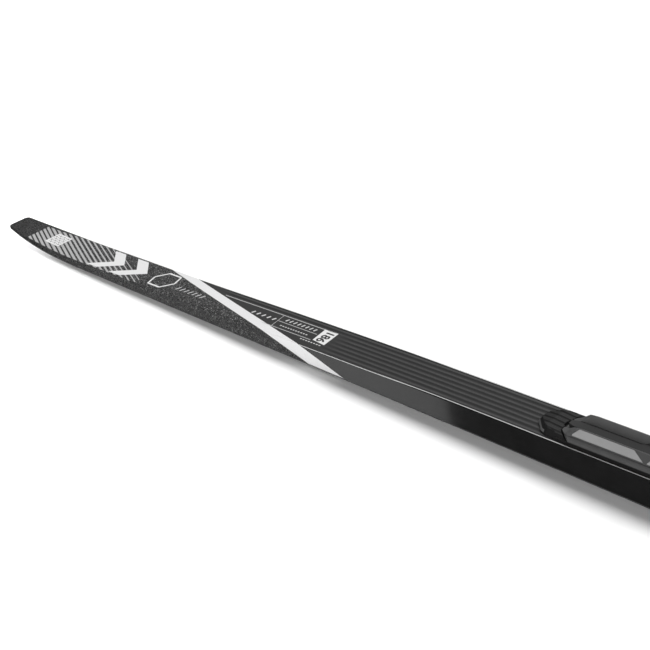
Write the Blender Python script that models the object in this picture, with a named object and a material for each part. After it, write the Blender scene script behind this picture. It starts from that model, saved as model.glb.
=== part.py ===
"""Cross-country skate ski, 186 cm, with its toe binding and heel plate.

World frame: +X towards the tail, +Z up, origin under the middle of the ski, at the
lowest point of the base.  Ski shapes are written as functions of the distance from
the tip; binding shapes are outlines in millimetres in the frame of their own mount.
"""
import math

import bmesh
import bpy
import numpy as np
from mathutils import Vector

MM = 0.001

# Ski
SKI_LENGTH = 1.860
HALF_WIDTH = 0.022
TIP_HALF_WIDTH = 0.015
TIP_TAPER_LENGTH = 0.130
TIP_CORNER_RADIUS = 0.005
TAIL_HALF_WIDTH = 0.018
TAIL_TAPER_LENGTH = 0.070
TAIL_CORNER_RADIUS = 0.007
FRONT_CONTACT = 0.169
REAR_CONTACT = 1.700
TIP_RISE = 0.012
TAIL_RISE = 0.005
CAMBER = 0.002
# Top surface: distance from the tip, height and slope
TOP_FRONT = (
    (0.000, 0.0150, -0.085),
    (0.050, 0.0116, -0.050),
    (0.100, 0.0099, -0.012),
    (0.169, 0.0103, 0.020),
    (0.250, 0.0125, 0.026),
    (0.400, 0.0162, 0.031),
    (0.550, 0.0216, 0.034),
    (0.700, 0.0260, 0.025),
    (0.860, 0.0292, 0.0115),
)
MOUNT_SLOPE = 0.0115
MOUNT_START = 0.860
MOUNT_END = 1.150
TOP_REAR = (
    (1.150, 0.032535, 0.0115),
    (1.190, 0.0327, 0.0),
    (1.310, 0.0327, 0.0),
    (1.450, 0.0286, -0.052),
    (1.600, 0.0190, -0.066),
    (1.720, 0.0124, -0.040),
    (1.800, 0.0104, -0.008),
    (1.860, 0.0116, 0.040),
)

# Laminate, from the base up
BASE_THICKNESS = 0.0013
GAP = 0.0003
CAP_WALL = 0.0013
CAP_ROOF = 0.0010
CAP_CHAMFER = 0.0010
LAMINATE_THICKNESS = 0.0008
REINFORCEMENT_THICKNESS = 0.0020
GROOVE_HALF_WIDTH = 0.0016
GROOVE_DEPTH = 0.0006
CAVITY_START = 0.030
CAVITY_END = 1.830
CORE_START = 0.120
CORE_END = 1.740
SHELL_END = 1.846

# Binding, from the front of its nose
BINDING_START = 0.884
HINGE_U = 115.0
HINGE_H = 6.0
HUB_RADIUS = 2.9
CRANK_RADIUS = 4.5
CRANK_REST_DEG = 30.0
PLATE_TOP = 2.5
FLOOR_TOP = 4.0
SPINE_HALF = 4.2
SLOT_HALF = 5.3
LEVER_TOP = 8.3
HOUSING_START = 28.0
HOUSING_END = 129.2
CREST_TOP = 14.0
CREST_Y = 11.0
CHEEK_EDGE = 8.0
CHEEK_EDGE_Y = 16.6
RIDGE_TOP = 8.6
SCREWS = {
    "screw_front": (86.0, 0.0),
    "screw_left": (158.0, -4.2),
    "screw_right": (158.0, 4.2),
    "screw_rear": (232.0, 0.0),
}

# Heel plate
HEEL_START = 1.205
HEEL_LENGTH = 80.0
HEEL_SCREWS = {"heel_screw_front": (11.0, 0.0), "heel_screw_rear": (69.0, 0.0)}


# ---------------------------------------------------------------- ski profile

def hermite(x, nodes):
    """Smooth curve through (position, height, slope) nodes."""
    for (x0, z0, m0), (x1, z1, m1) in zip(nodes, nodes[1:]):
        if x <= x1:
            break
    span = x1 - x0
    t = min(max((x - x0) / span, 0.0), 1.0)
    start = (2 * t**3 - 3 * t**2 + 1) * z0 + (t**3 - 2 * t**2 + t) * span * m0
    end = (3 * t**2 - 2 * t**3) * z1 + (t**3 - t**2) * span * m1
    return start + end


def base_z(x):
    """Height of the running surface: raised tip, low camber, raised tail."""
    if x < FRONT_CONTACT:
        return TIP_RISE * (1 - x / FRONT_CONTACT) ** 2
    if x > REAR_CONTACT:
        return TAIL_RISE * ((x - REAR_CONTACT) / (SKI_LENGTH - REAR_CONTACT)) ** 2
    return CAMBER * math.sin(math.pi * (x - FRONT_CONTACT) / (REAR_CONTACT - FRONT_CONTACT))


def top_z(x):
    """Height of the top surface; straight where the binding is mounted."""
    if x < MOUNT_START:
        return hermite(x, TOP_FRONT)
    if x > MOUNT_END:
        return hermite(x, TOP_REAR)
    return TOP_FRONT[-1][1] + MOUNT_SLOPE * (x - MOUNT_START)


def corner(distance, radius):
    """How far a rounded corner draws the edge in, at a distance from the end."""
    if distance >= radius:
        return 0.0
    return radius - math.sqrt(radius**2 - (radius - distance) ** 2)


def half_width(x):
    to_tail = SKI_LENGTH - x
    tip = (HALF_WIDTH - TIP_HALF_WIDTH) * max(1 - x / TIP_TAPER_LENGTH, 0.0) ** 2
    tail = (HALF_WIDTH - TAIL_HALF_WIDTH) * max(1 - to_tail / TAIL_TAPER_LENGTH, 0.0) ** 2
    return HALF_WIDTH - tip - tail - corner(x, TIP_CORNER_RADIUS) - corner(to_tail, TAIL_CORNER_RADIUS)


def stations(start, end):
    """Distances from the tip at which a lengthwise piece has a section."""
    ends = [0.0, 0.0004, 0.0015, 0.0033, 0.006, 0.012, 0.022, 0.04, 0.065, 0.09, 0.115, 0.14]
    middle = list(np.arange(0.17, 1.72, 0.0625)) + [MOUNT_START, MOUNT_END, 1.19, 1.31]
    every = ends + middle + [SKI_LENGTH - e for e in ends]
    inside = sorted(x for x in every if start + 0.002 < x < end - 0.002)
    if start == 0.0:
        inside = sorted(set(inside) | {0.0004, 0.0015})
    if end == SKI_LENGTH:
        inside = sorted(set(inside) | {SKI_LENGTH - 0.0004, SKI_LENGTH - 0.0015})
    return [start] + inside + [end]


# ---------------------------------------------------------------- mesh helpers

def material(name, colour, roughness, metallic=0.0):
    mat = bpy.data.materials.new(name)
    mat.use_nodes = True
    shader = mat.node_tree.nodes["Principled BSDF"]
    shader.inputs["Base Color"].default_value = (*colour, 1.0)
    shader.inputs["Roughness"].default_value = roughness
    shader.inputs["Metallic"].default_value = metallic
    return mat


def object_from(mesh_edit, name, origin=(0.0, 0.0, 0.0)):
    """Object whose mesh is the given bmesh, with its origin moved to a point."""
    bmesh.ops.recalc_face_normals(mesh_edit, faces=mesh_edit.faces)
    bmesh.ops.translate(mesh_edit, vec=-Vector(origin), verts=mesh_edit.verts)
    mesh = bpy.data.meshes.new(name)
    mesh_edit.to_mesh(mesh)
    mesh_edit.free()
    obj = bpy.data.objects.new(name, mesh)
    obj.location = origin
    bpy.context.collection.objects.link(obj)
    return obj


def stack(name, rings, origin=(0.0, 0.0, 0.0)):
    """Closed solid through rings of matching points."""
    mesh = bmesh.new()
    rows = [[mesh.verts.new(p) for p in ring] for ring in rings]
    for low, high in zip(rows, rows[1:]):
        for i in range(len(low)):
            j = (i + 1) % len(low)
            mesh.faces.new((low[i], low[j], high[j], high[i]))
    mesh.faces.new(reversed(rows[0]))
    mesh.faces.new(rows[-1])
    return object_from(mesh, name, origin)


def prism(name, outline, low, high, along, origin=(0.0, 0.0, 0.0)):
    """Outline in millimetres, extruded along one axis of the mount's frame."""
    place = {
        "X": lambda a, b, c: (c * MM, a * MM, b * MM),
        "Y": lambda a, b, c: (a * MM, c * MM, b * MM),
        "Z": lambda a, b, c: (a * MM, b * MM, c * MM),
    }[along]
    rings = [[place(a, b, c) for a, b in outline] for c in (low, high)]
    return stack(name, rings, origin)


def box(name, low, high, origin=(0.0, 0.0, 0.0)):
    outline = [(low[0], low[1]), (high[0], low[1]), (high[0], high[1]), (low[0], high[1])]
    return prism(name, outline, low[2], high[2], "Z", origin)


def circle(u, v, radius, sides=20):
    turn = 2 * math.pi / sides
    return [(u + radius * math.cos(turn * i), v + radius * math.sin(turn * i)) for i in range(sides)]


def fillet(corners, steps=4):
    """Outline with rounded corners from (u, v, radius) corners."""
    outline = []
    for i, (u, v, radius) in enumerate(corners):
        here = Vector((u, v))
        if radius == 0:
            outline.append((u, v))
            continue
        before = (Vector(corners[i - 1][:2]) - here).normalized()
        after = (Vector(corners[(i + 1) % len(corners)][:2]) - here).normalized()
        half = before.angle(after) / 2
        centre = here + (before + after).normalized() * (radius / math.sin(half))
        start = here + before * (radius / math.tan(half)) - centre
        sweep = start.angle_signed(here + after * (radius / math.tan(half)) - centre)
        for k in range(steps + 1):
            angle = -sweep * k / steps
            turned = Vector((
                start.x * math.cos(angle) - start.y * math.sin(angle),
                start.x * math.sin(angle) + start.y * math.cos(angle),
            ))
            outline.append(tuple(centre + turned))
    return outline


def both_sides(points):
    """Closed outline from one side's points, mirrored in the second coordinate."""
    return list(points) + [(p[0], -p[1], *p[2:]) for p in reversed(points)]


def combine(target, tool, operation):
    """Boolean of two objects; the tool becomes a guide that isn't built."""
    modifier = target.modifiers.new(tool.name, "BOOLEAN")
    modifier.operation = operation
    modifier.solver = "EXACT"
    modifier.object = tool
    tool.hide_render = True
    tool.display_type = "WIRE"


def cut(target, *tools):
    for tool in tools:
        combine(target, tool, "DIFFERENCE")


def dress(obj, mat, frame=None):
    obj.data.materials.append(mat)
    if frame:
        obj.parent = frame
    return obj


def guide(obj, frame):
    obj.parent = frame
    return obj


def mount_frame(name, distance):
    """Empty on the top surface, with its X axis along the surface."""
    frame = bpy.data.objects.new(name, None)
    frame.location = (distance - SKI_LENGTH / 2, 0.0, top_z(distance))
    rise = top_z(distance + 0.01) - top_z(distance)
    frame.rotation_euler = (0.0, -math.atan2(rise, 0.01), 0.0)
    bpy.context.collection.objects.link(frame)
    return frame


# ---------------------------------------------------------------- ski pieces

def lengthwise(name, start, end, section):
    """Solid with a section of (y, z) points at each station."""
    rings = []
    for x in stations(start, end):
        rings.append([(x - SKI_LENGTH / 2, y, z) for y, z in section(x)])
    return stack(name, rings)


def layer(name, start, end, low, high, inset):
    """Flat strip between two heights given as functions of the distance."""
    def section(x):
        half = half_width(x) - inset
        return [(-half, low(x)), (half, low(x)), (half, high(x)), (-half, high(x))]
    return lengthwise(name, start, end, section)


def running_base():
    def section(x):
        half = half_width(x)
        z = base_z(x)
        fade = min(max((x - 0.14) / 0.03, 0.0), max((1.80 - x) / 0.03, 0.0), 1.0)
        depth = 0.00005 + GROOVE_DEPTH * fade
        groove = GROOVE_HALF_WIDTH
        high = z + BASE_THICKNESS
        return [
            (-half, z), (-groove, z), (-groove * 0.6, z + depth), (groove * 0.6, z + depth),
            (groove, z), (half, z), (half, high), (-half, high),
        ]
    return lengthwise("running_base", 0.0, SHELL_END, section)


def cap_section(x, low):
    half = half_width(x)
    high = top_z(x)
    edge = min(CAP_CHAMFER, (high - low) * 0.4)
    return [
        (-half, low), (half, low), (half, high - edge), (half - edge, high),
        (-half + edge, high), (-half, high - edge),
    ]


def topsheet():
    """Cap that forms the top and both sides, hollow below for the core."""
    cap = lengthwise(
        "topsheet", 0.0, SHELL_END, lambda x: cap_section(x, base_z(x) + BASE_THICKNESS + GAP)
    )
    hollow = layer(
        "cap_hollow", CAVITY_START, CAVITY_END,
        lambda x: base_z(x) - 0.001, lambda x: top_z(x) - CAP_ROOF, CAP_WALL,
    )
    cut(cap, hollow)
    return cap


def tail_protector():
    return lengthwise(
        "tail_protector", SHELL_END + GAP, SKI_LENGTH, lambda x: cap_section(x, base_z(x))
    )


def inner_layers():
    """Bottom laminate, spacers, core, reinforcement and top laminate."""
    inset = CAP_WALL + GAP
    first = BASE_THICKNESS + GAP
    second = first + LAMINATE_THICKNESS + GAP
    under_roof = CAP_ROOF + GAP
    core_top = under_roof + LAMINATE_THICKNESS + GAP

    def above(offset):
        return lambda x: base_z(x) + offset

    def below(offset):
        return lambda x: top_z(x) - offset

    start, end = CAVITY_START + GAP, CAVITY_END - GAP
    spacer_top = below(under_roof)
    pieces = {
        "base_laminate": layer("base_laminate", start, end, above(first), above(second - GAP), inset),
        "tip_spacer": layer("tip_spacer", start, CORE_START - GAP, above(second), spacer_top, inset),
        "core": layer("core", CORE_START, CORE_END, above(second), below(core_top), inset),
        "top_laminate": layer(
            "top_laminate", CORE_START, CORE_END, below(core_top - GAP), spacer_top, inset),
        "tail_spacer": layer("tail_spacer", CORE_END + GAP, end, above(second), spacer_top, inset),
    }
    plate_start, plate_end = BINDING_START + 0.050, HEEL_START + HEEL_LENGTH * MM + 0.010
    plate_low = core_top + REINFORCEMENT_THICKNESS
    pieces["binding_reinforcement"] = layer(
        "binding_reinforcement", plate_start, plate_end, below(plate_low), below(core_top), inset + 0.002)
    pocket = layer(
        "reinforcement_pocket", plate_start - GAP, plate_end + GAP,
        below(plate_low + GAP), below(core_top - 0.001), inset + 0.002 - GAP)
    cut(pieces["core"], pocket)
    return pieces


# ---------------------------------------------------------------- binding pieces

def cheek_height(y):
    """Height of a cheek's outward slope at a distance from the middle."""
    fall = (CREST_TOP - CHEEK_EDGE) / (CHEEK_EDGE_Y - CREST_Y)
    return CREST_TOP - fall * (abs(y) - CREST_Y)


def sloped_plate(name, outline, low, high):
    """Plate that follows a cheek's outward slope, offset below and above it."""
    rings = []
    for offset in (low, high):
        rings.append([(u * MM, v * MM, (cheek_height(v) + offset) * MM) for u, v in outline])
    return stack(name, rings)


def grown(outline, amount):
    """Outline with each edge moved outwards by an amount."""
    points = [Vector(p) for p in outline]
    area = sum(a.x * b.y - b.x * a.y for a, b in zip(points, points[1:] + points[:1]))
    side = 1.0 if area > 0 else -1.0
    result = []
    for i, here in enumerate(points):
        before = (here - points[i - 1]).normalized()
        after = (points[(i + 1) % len(points)] - here).normalized()
        out_before = Vector((before.y, -before.x)) * side
        out_after = Vector((after.y, -after.x)) * side
        middle = (out_before + out_after).normalized()
        result.append(tuple(here + middle * (amount / max(middle.dot(out_before), 0.3))))
    return result


def inlay_outlines(sign):
    """Front and rear light panels of one cheek, split by the dark notch at the hinge."""
    front = fillet([(43.2, 15.9, 0.4), (49.2, 11.4, 1.5), (102.0, 11.4, 0), (112.6, 15.9, 0)])
    rear = fillet([(116.0, 15.9, 0), (121.0, 11.4, 0), (127.6, 11.4, 0.8), (127.6, 15.9, 0.8)])
    return [[(u, sign * v) for u, v in outline] for outline in (front, rear)]


def spine_outline(clearance):
    """Plan of the lever from its tip to its hub, on one side."""
    return [
        (30.3 - clearance, 2.4 + clearance), (37.0, SPINE_HALF + clearance),
        (97.0, SPINE_HALF + clearance), (110.5, 9.0 + clearance),
    ]


def housing_plan(margin):
    """Plan of the housing with its rounded front corners, grown by a margin."""
    front = HOUSING_START - 0.2 - margin
    wide = 19.5 + margin
    return fillet(both_sides([(front, 9.0, 6.0), (42.0 - margin, wide, 9.0), (130.0, wide, 0)]))


def nose_cap(frame, mat):
    """Nose in front of the lever, its sides running back round the housing's corners."""
    bottom = [(0, 5.5), (10.5, 15.5), (17, 18.2), (40, 18.9)]
    shoulder = [(0.6, 5.4), (11, 15.2), (17.3, 17.9), (40, 18.6)]
    top = [(4.6, 4.4), (13.0, 13.2), (18.4, 15.9), (40, 16.9)]
    rings = []
    for side, heights in ((bottom, [0.3] * 4), (shoulder, [2.0] * 4), (top, [6.4, 6.8, 7.0, 7.6])):
        half = [(u * MM, v * MM, h * MM) for (u, v), h in zip(side, heights)]
        rings.append(half + [(x, -y, z) for x, y, z in reversed(half)])
    nose = dress(stack("nose_cap", rings), mat, frame)
    tools = [
        box("finger_notch", (25.8, -3.8, PLATE_TOP + 0.3), (30, 3.8, 12)),
        box("plate_passage", (27.0, -20, -1), (45, 20, PLATE_TOP + 0.3)),
        prism("housing_passage", housing_plan(0.5), -1, 20, "Z"),
    ]
    cut(nose, *[guide(tool, frame) for tool in tools])
    return nose


def base_plate(frame, mat):
    plan = both_sides([(27.4, 18.4, 0), (132.0, 18.4, 6), (150.0, 14.5, 6), (246.0, 14.5, 5)])
    plate = dress(prism("base_plate", fillet(plan), 0.3, PLATE_TOP, "Z"), mat, frame)
    side = fillet([(149, 1.2, 0), (149, RIDGE_TOP, 2), (206, RIDGE_TOP, 6), (244, 5.2, 2), (244, 1.2, 0)])
    for name, low in (("ridge_left", -13.5), ("ridge_right", 8.5)):
        combine(plate, guide(prism(name, side, low, low + 5.0, "Y"), frame), "UNION")
    cut(plate, guide(box("slider_channel", (104.5, -7.4, -1), (143.0, 7.4, 4)), frame))
    for name, (u, v) in SCREWS.items():
        cut(plate, guide(prism(name + "_plate_hole", circle(u, v, 2.5, 12), -1, 4, "Z"), frame))
    return plate


def housing(frame, mat):
    """Floor, hinge lugs and two raised cheeks that slope away on both sides."""
    half = [
        (FLOOR_TOP, SLOT_HALF), (LEVER_TOP - 0.3, SLOT_HALF), (CREST_TOP - 0.4, CREST_Y - 1.2),
        (CREST_TOP, CREST_Y - 0.7), (CREST_TOP, CREST_Y), (CHEEK_EDGE, CHEEK_EDGE_Y),
        (7.4, 16.4), (7.1, 16.9), (5.6, 18.7), (4.8, 19.0), (PLATE_TOP + 0.3, 18.8),
    ]
    section = [(v, h) for h, v in both_sides(half)]
    body = dress(prism("housing", section, HOUSING_START, HOUSING_END, "X"), mat, frame)
    lug = fillet([
        (HINGE_U - 9, PLATE_TOP + 0.4, 0), (HINGE_U - 9, 7.2, 1), (HINGE_U - 2.5, 9.0, 2.5),
        (HINGE_U + 3, 9.0, 2), (HINGE_U + 6, 7.6, 1), (HINGE_U + 6, PLATE_TOP + 0.4, 0),
    ])
    combine(body, guide(prism("hinge_lugs", lug, -14.7, 14.7, "Y"), frame), "UNION")
    combine(body, guide(prism("housing_plan", housing_plan(0), 0, 20, "Z"), frame), "INTERSECT")
    rise = [
        (27.0, 0.0), (27.0, 5.0), (33.5, 6.0), (37.5, 8.0), (40.5, 10.0), (45.0, 12.0), (50.0, 13.5),
        (54.0, CREST_TOP + 0.1), (118.0, CREST_TOP + 0.1), (130.0, 11.6), (130.0, 0.0),
    ]
    combine(body, guide(prism("cheek_rise", rise, -20, 20, "Y"), frame), "INTERSECT")
    slot = both_sides([(20.0, SLOT_HALF)] + spine_outline(0.4)[2:] + [(HINGE_U + 3.3, 9.4)])
    tools = [
        prism("lever_slot", slot, FLOOR_TOP, 20, "Z"),
        prism("hub_pocket", circle(HINGE_U, HINGE_H, HUB_RADIUS + 0.4, 24), -9.4, 9.4, "Y"),
        box("crank_window", (109.5, -2.7, 0), (HINGE_U + 5.5, 2.7, HINGE_H)),
        prism("pin_bore", circle(HINGE_U, HINGE_H, 1.5, 16), -13.6, 13.6, "Y"),
        box("flexor_pocket", (120.3, -9.7, 4.6), (140, 9.7, 20)),
        box("hook_travel", (126.5, -7.3, 0), (140, 7.3, 20)),
        prism("front_screw_hole", circle(*SCREWS["screw_front"], 4.0, 16), 0, 6, "Z"),
    ]
    cut(body, *[guide(tool, frame) for tool in tools])
    for side, sign in (("left", -1), ("right", 1)):
        for place, outline in zip(("front", "rear"), inlay_outlines(sign)):
            name = f"{place}_inlay_recess_{side}"
            cut(body, guide(sloped_plate(name, grown(outline, 0.25), -1.0, 4.0), frame))
    return body


def inlays(frame, mat):
    for side, sign in (("left", -1), ("right", 1)):
        for place, outline in zip(("front", "rear"), inlay_outlines(sign)):
            dress(sloped_plate(f"{place}_inlay_{side}", outline, -0.8, 0.15), mat, frame)


def lever(frame, mat):
    """Spine that a finger lifts at its tip, its hub on the pin and its crank below."""
    axis = (HINGE_U * MM, 0.0, HINGE_H * MM)
    plan = both_sides(spine_outline(0.0) + [(HINGE_U, 9.0)])
    body = prism("lever", plan, FLOOR_TOP + 0.6, LEVER_TOP, "Z", axis)
    dress(body, mat, frame)
    hub = prism("lever_hub", circle(HINGE_U, HINGE_H, HUB_RADIUS, 24), -9.0, 9.0, "Y")
    combine(body, guide(hub, frame), "UNION")
    lean = math.radians(CRANK_REST_DEG)
    tip_u = HINGE_U + CRANK_RADIUS * math.sin(lean)
    tip_h = HINGE_H - CRANK_RADIUS * math.cos(lean)
    across = Vector((math.cos(lean), math.sin(lean))) * 0.9
    tip = Vector((tip_u, tip_h))
    root = Vector((HINGE_U, HINGE_H))
    end = [
        tuple(tip + Vector((math.cos(a), math.sin(a))) * 0.9)
        for a in np.linspace(lean - math.pi, lean, 7)
    ]
    arm = [tuple(root - across)] + end + [tuple(root + across)]
    combine(body, guide(prism("lever_crank", arm, -2.2, 2.2, "Y"), frame), "UNION")
    cut(body, guide(prism("hub_bore", circle(HINGE_U, HINGE_H, 1.5, 16), -12, 12, "Y"), frame))
    return body


def lever_pin(frame, mat):
    outline = circle(HINGE_U, HINGE_H, 1.25, 16)
    return dress(prism("lever_pin", outline, -13.2, 13.2, "Y"), mat, frame)


def latch_slider(frame, mat):
    """Steel plate that the crank pushes forwards, with a hook over the toe bar."""
    origin = (123.5 * MM, 0.0, 1.4 * MM)
    low, high = 0.4, 2.3
    side = [
        (110.0, low), (136.9, low), (136.9, 10.6), (141.3, 10.6), (141.3, 11.4),
        (139.8, 12.3), (134.2, 12.3), (133.2, 11.3), (133.2, high), (110.0, high),
    ]
    slider = dress(prism("latch_slider", side, -6.9, 6.9, "Y", origin), mat, frame)
    crank_u = HINGE_U + CRANK_RADIUS * math.sin(math.radians(CRANK_REST_DEG))
    pocket = [
        (crank_u - 1.25, -1), (crank_u + 1.25, -1), (crank_u + 1.25, 1.9),
        (crank_u + 1.9, 3.5), (crank_u - 1.9, 3.5), (crank_u - 1.25, 1.9),
    ]
    cut(slider, guide(prism("crank_pocket", pocket, -2.7, 2.7, "Y"), frame))
    return slider


def bar_seat(frame, mat):
    """Two notched steel cheeks joined behind the toe bar."""
    floor = PLATE_TOP + 0.3
    side = fillet([
        (130.0, floor, 0), (130.0, 8.6, 1.5), (136.6, 8.9, 0.8), (137.0, 5.8, 1.2),
        (142.6, 5.8, 1.2), (142.6, 12.2, 0.6), (146.4, 12.2, 1.5), (146.4, floor, 0),
    ], 3)
    seat = dress(prism("bar_seat", side, -10.6, 10.6, "Y"), mat, frame)
    cut(seat, guide(box("hook_passage", (120, -7.3, 0), (142.6, 7.3, 20)), frame))
    return seat


def flexor(frame, mat):
    side = fillet([(120.6, 4.9, 0.6), (120.6, 12.4, 2.0), (126.0, 12.4, 2.5), (128.2, 8.0, 1.0), (128.2, 4.9, 0.6)])
    return dress(prism("flexor", side, -9.4, 9.4, "Y"), mat, frame)


def screw(name, place, seat_h, frame, mat):
    """Pan-head wood screw with a cross recess, its head on the plate."""
    u, v = place
    profile = [(0.05, -17.5), (2.2, -13.5), (2.2, 0.0), (3.6, 0.0), (3.6, 0.6), (2.6, 1.3), (0.05, 1.4)]
    rings = []
    for radius, h in profile:
        rings.append([(a * MM, b * MM, (seat_h + h) * MM) for a, b in circle(u, v, radius, 12)])
    body = dress(stack(name, rings), mat, frame)
    for index, (a, b) in enumerate(((1.9, 0.4), (0.4, 1.9))):
        slot = box(f"{name}_slot_{index}", (u - a, v - b, seat_h + 0.6), (u + a, v + b, seat_h + 3))
        cut(body, guide(slot, frame))
    return body


def heel_plate(frame, mat):
    plan = both_sides([(0, 16.0, 5), (HEEL_LENGTH, 16.0, 5)])
    plate = dress(prism("heel_plate", fillet(plan), 0.3, PLATE_TOP, "Z"), mat, frame)
    side = fillet([(3, 1.2, 0), (3, 5.0, 1.5), (10, 7.5, 3), (70, 7.5, 3), (77, 5.0, 1.5), (77, 1.2, 0)])
    for name, low in (("heel_ridge_left", -13.5), ("heel_ridge_right", 8.5)):
        combine(plate, guide(prism(name, side, low, low + 5.0, "Y"), frame), "UNION")
    for name, (u, v) in HEEL_SCREWS.items():
        cut(plate, guide(prism(name + "_plate_hole", circle(u, v, 2.5, 12), -1, 4, "Z"), frame))
    return plate


def heel_pad(frame, mat):
    plan = both_sides([(17, 8.1, 2), (63, 8.1, 2)])
    return dress(prism("heel_pad", fillet(plan), PLATE_TOP + 0.3, 4.6, "Z"), mat, frame)


def screw_holes(pieces, screws, frame):
    """Clearance for the screws' shanks through the layers of the ski."""
    for name, (u, v) in screws.items():
        hole = guide(prism(name + "_ski_hole", circle(u, v, 2.5, 12), -17.0, 2.0, "Z"), frame)
        for piece in pieces:
            cut(piece, hole)


def build():
    for obj in list(bpy.data.objects):
        bpy.data.objects.remove(obj, do_unlink=True)

    polyethylene = material("base_polyethylene", (0.030, 0.030, 0.032), 0.35)
    glass_laminate = material("glass_laminate", (0.30, 0.28, 0.20), 0.50)
    foam = material("core_foam", (0.62, 0.58, 0.42), 0.80)
    spacer_plastic = material("spacer_plastic", (0.06, 0.06, 0.06), 0.50)
    cap_lacquer = material("cap_lacquer", (0.035, 0.035, 0.037), 0.25)
    black_plastic = material("black_plastic", (0.022, 0.022, 0.023), 0.50)
    housing_plastic = material("housing_plastic", (0.050, 0.050, 0.052), 0.45)
    lever_plastic = material("lever_plastic", (0.040, 0.041, 0.045), 0.45)
    grey_plastic = material("grey_plastic", (0.27, 0.27, 0.27), 0.50)
    rubber = material("rubber", (0.020, 0.020, 0.020), 0.80)
    steel = material("steel", (0.55, 0.55, 0.56), 0.30, 1.0)

    dress(running_base(), polyethylene)
    cap = dress(topsheet(), cap_lacquer)
    dress(tail_protector(), black_plastic)
    layers = inner_layers()
    for name in ("base_laminate", "top_laminate", "binding_reinforcement"):
        dress(layers[name], glass_laminate)
    dress(layers["core"], foam)
    for name in ("tip_spacer", "tail_spacer"):
        dress(layers[name], spacer_plastic)

    toe = mount_frame("binding_frame", BINDING_START)
    nose_cap(toe, black_plastic)
    base_plate(toe, black_plastic)
    housing(toe, housing_plastic)
    inlays(toe, grey_plastic)
    lever(toe, lever_plastic)
    lever_pin(toe, steel)
    latch_slider(toe, steel)
    bar_seat(toe, steel)
    flexor(toe, rubber)

    heel = mount_frame("heel_frame", HEEL_START)
    heel_plate(heel, black_plastic)
    heel_pad(heel, rubber)

    drilled = [cap, layers["top_laminate"], layers["binding_reinforcement"], layers["core"]]
    for screws, frame in ((SCREWS, toe), (HEEL_SCREWS, heel)):
        screw_holes(drilled, screws, frame)
        for name, place in screws.items():
            screw(name, place, PLATE_TOP + 0.3, frame, steel)


build()
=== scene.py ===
"""Looks of the cross country ski: ribbed cap, printed graphics, binding and a studio."""
import math

import bmesh
import bpy
import numpy as np
from mathutils import Matrix, Vector


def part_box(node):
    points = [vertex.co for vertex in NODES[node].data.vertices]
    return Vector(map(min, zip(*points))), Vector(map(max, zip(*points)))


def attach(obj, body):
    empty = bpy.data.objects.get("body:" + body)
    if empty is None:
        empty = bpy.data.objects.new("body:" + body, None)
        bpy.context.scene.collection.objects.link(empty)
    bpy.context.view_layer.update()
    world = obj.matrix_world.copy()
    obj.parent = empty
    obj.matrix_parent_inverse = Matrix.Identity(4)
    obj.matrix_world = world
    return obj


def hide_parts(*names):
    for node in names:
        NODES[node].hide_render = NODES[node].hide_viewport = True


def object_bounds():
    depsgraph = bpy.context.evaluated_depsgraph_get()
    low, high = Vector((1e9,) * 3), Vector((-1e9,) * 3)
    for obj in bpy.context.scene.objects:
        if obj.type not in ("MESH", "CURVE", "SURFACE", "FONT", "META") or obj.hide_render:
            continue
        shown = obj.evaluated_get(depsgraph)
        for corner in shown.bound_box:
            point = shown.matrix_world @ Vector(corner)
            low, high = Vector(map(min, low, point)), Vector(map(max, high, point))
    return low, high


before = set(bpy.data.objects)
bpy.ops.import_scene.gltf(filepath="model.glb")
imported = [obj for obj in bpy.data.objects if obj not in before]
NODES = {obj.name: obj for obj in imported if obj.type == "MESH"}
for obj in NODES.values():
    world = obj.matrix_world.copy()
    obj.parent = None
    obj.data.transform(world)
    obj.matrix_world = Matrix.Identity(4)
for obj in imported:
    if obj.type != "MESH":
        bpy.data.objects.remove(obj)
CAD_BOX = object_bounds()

MM = 0.001

# ------------------------------------------------------------ the ski's own shape
# Distances are from the tip; the frame's origin is under the middle of the ski.
LENGTH = CAD_BOX[1].x - CAD_BOX[0].x
MIDDLE = LENGTH / 2
HALF_WIDTH = 0.022
TIP_HALF_WIDTH, TIP_TAPER, TIP_CORNER = 0.015, 0.130, 0.005
TAIL_HALF_WIDTH, TAIL_TAPER, TAIL_CORNER = 0.018, 0.070, 0.007
FRONT_CONTACT, REAR_CONTACT = 0.169, 1.700
TIP_RISE, TAIL_RISE, CAMBER = 0.012, 0.005, 0.002
MOUNT_START, MOUNT_END, MOUNT_SLOPE = 0.860, 1.150, 0.0115
TOP_FRONT = (
    (0.000, 0.0150, -0.085), (0.050, 0.0116, -0.050), (0.100, 0.0099, -0.012),
    (0.169, 0.0103, 0.020), (0.250, 0.0125, 0.026), (0.400, 0.0162, 0.031),
    (0.550, 0.0216, 0.034), (0.700, 0.0260, 0.025), (0.860, 0.0292, 0.0115),
)
TOP_REAR = (
    (1.150, 0.032535, 0.0115), (1.190, 0.0327, 0.0), (1.310, 0.0327, 0.0),
    (1.450, 0.0286, -0.052), (1.600, 0.0190, -0.066), (1.720, 0.0124, -0.040),
    (1.800, 0.0104, -0.008), (1.860, 0.0116, 0.040),
)
BASE_THICKNESS = 0.0013
SHELL_GAP = 0.0003
SHELL_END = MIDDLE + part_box("topsheet")[1].x
CAP_WALL, CAP_ROOF = 0.0013, 0.0010
CAVITY_START, CAVITY_END = 0.030, 1.830
EDGE_RADIUS = 0.0003
STATION_STEP, STATION_GAP = 0.006, 0.0002
CAP_ANGLE = 30.0

# Ribs along the rear top; beyond the label's far rule they start further forward
RIB_PITCH = 0.006
RIB_DEPTH = 0.0005
RIB_START, RIB_FULL = 0.616, 0.640
FAR_RIB_START, FAR_RIB_FULL = 0.422, 0.442
FAR_RIB_EDGE = 0.0120
RIB_END, RIB_END_FADE = 1.790, 0.020
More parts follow.
